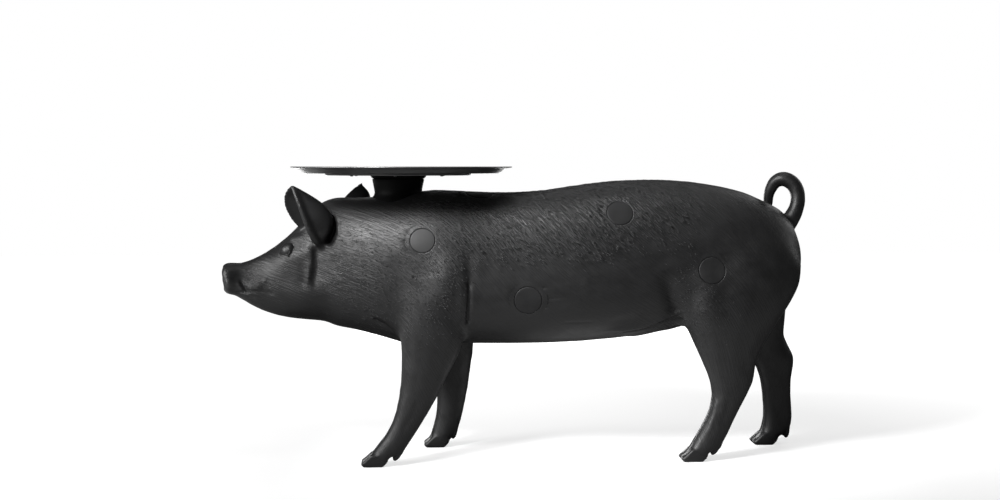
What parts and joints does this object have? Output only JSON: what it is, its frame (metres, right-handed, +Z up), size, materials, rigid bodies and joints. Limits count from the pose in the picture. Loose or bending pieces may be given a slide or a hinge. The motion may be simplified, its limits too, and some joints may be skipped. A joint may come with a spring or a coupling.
{
  "type": "pig-shaped side table",
  "caption": "Life-size standing pig moulded in black resin, with a round rimmed tray on a short pedestal on its neck as a side table.",
  "frame": {"origin": "on the floor, under the middle of the whole table's box", "axes": "+X towards the tail, so the pig faces -X; +Y towards the pig's right; +Z up"},
  "size_m": [1.5595, 0.584, 0.775],
  "materials": {
    "hide": "satin black resin with short hair moulded into it",
    "smooth_resin": "smooth satin black resin",
    "horn": "smooth satin black resin with fine growth lines",
    "eye": "smooth glossy black",
    "tray": "semi-gloss black",
    "screw": "blackened steel"
  },
  "bodies": {
    "root": {"neck": "hide", "chest": "hide", "belly": "hide", "rump": "hide", "head": "hide", "jaw": "hide", "leg_front_left_upper": "hide", "leg_front_left_lower": "hide", "leg_front_right_upper": "hide", "leg_front_right_lower": "hide", "leg_hind_left_upper": "hide", "leg_hind_left_lower": "hide", "leg_hind_right_upper": "hide", "leg_hind_right_lower": "hide", "snout": "smooth_resin", "ear_left": "smooth_resin", "ear_right": "smooth_resin", "tail_base": "smooth_resin", "tail_curl": "smooth_resin", "pedestal": "smooth_resin", "flange": "smooth_resin", "disc_shoulder_left": "smooth_resin", "disc_back_left": "smooth_resin", "disc_belly_left": "smooth_resin", "disc_ham_left": "smooth_resin", "disc_withers": "smooth_resin", "disc_shoulder_right": "smooth_resin", "disc_belly_right": "smooth_resin", "disc_ham_right": "smooth_resin", "hoof_front_left_outer": "horn", "hoof_front_left_inner": "horn", "hoof_front_right_outer": "horn", "hoof_front_right_inner": "horn", "hoof_hind_left_outer": "horn", "hoof_hind_left_inner": "horn", "hoof_hind_right_outer": "horn", "hoof_hind_right_inner": "horn", "dewclaw_front_left_outer": "horn", "dewclaw_front_left_inner": "horn", "dewclaw_front_right_outer": "horn", "dewclaw_front_right_inner": "horn", "dewclaw_hind_left_outer": "horn", "dewclaw_hind_left_inner": "horn", "dewclaw_hind_right_outer": "horn", "dewclaw_hind_right_inner": "horn", "eye_left": "eye", "eye_right": "eye", "tray": "tray", "tray_plate": "tray", "tray_screw_1": "screw", "tray_screw_2": "screw", "tray_screw_3": "screw", "tray_screw_4": "screw", "tray_screw_5": "screw", "tray_screw_6": "screw"}
  },
  "joints": []
}
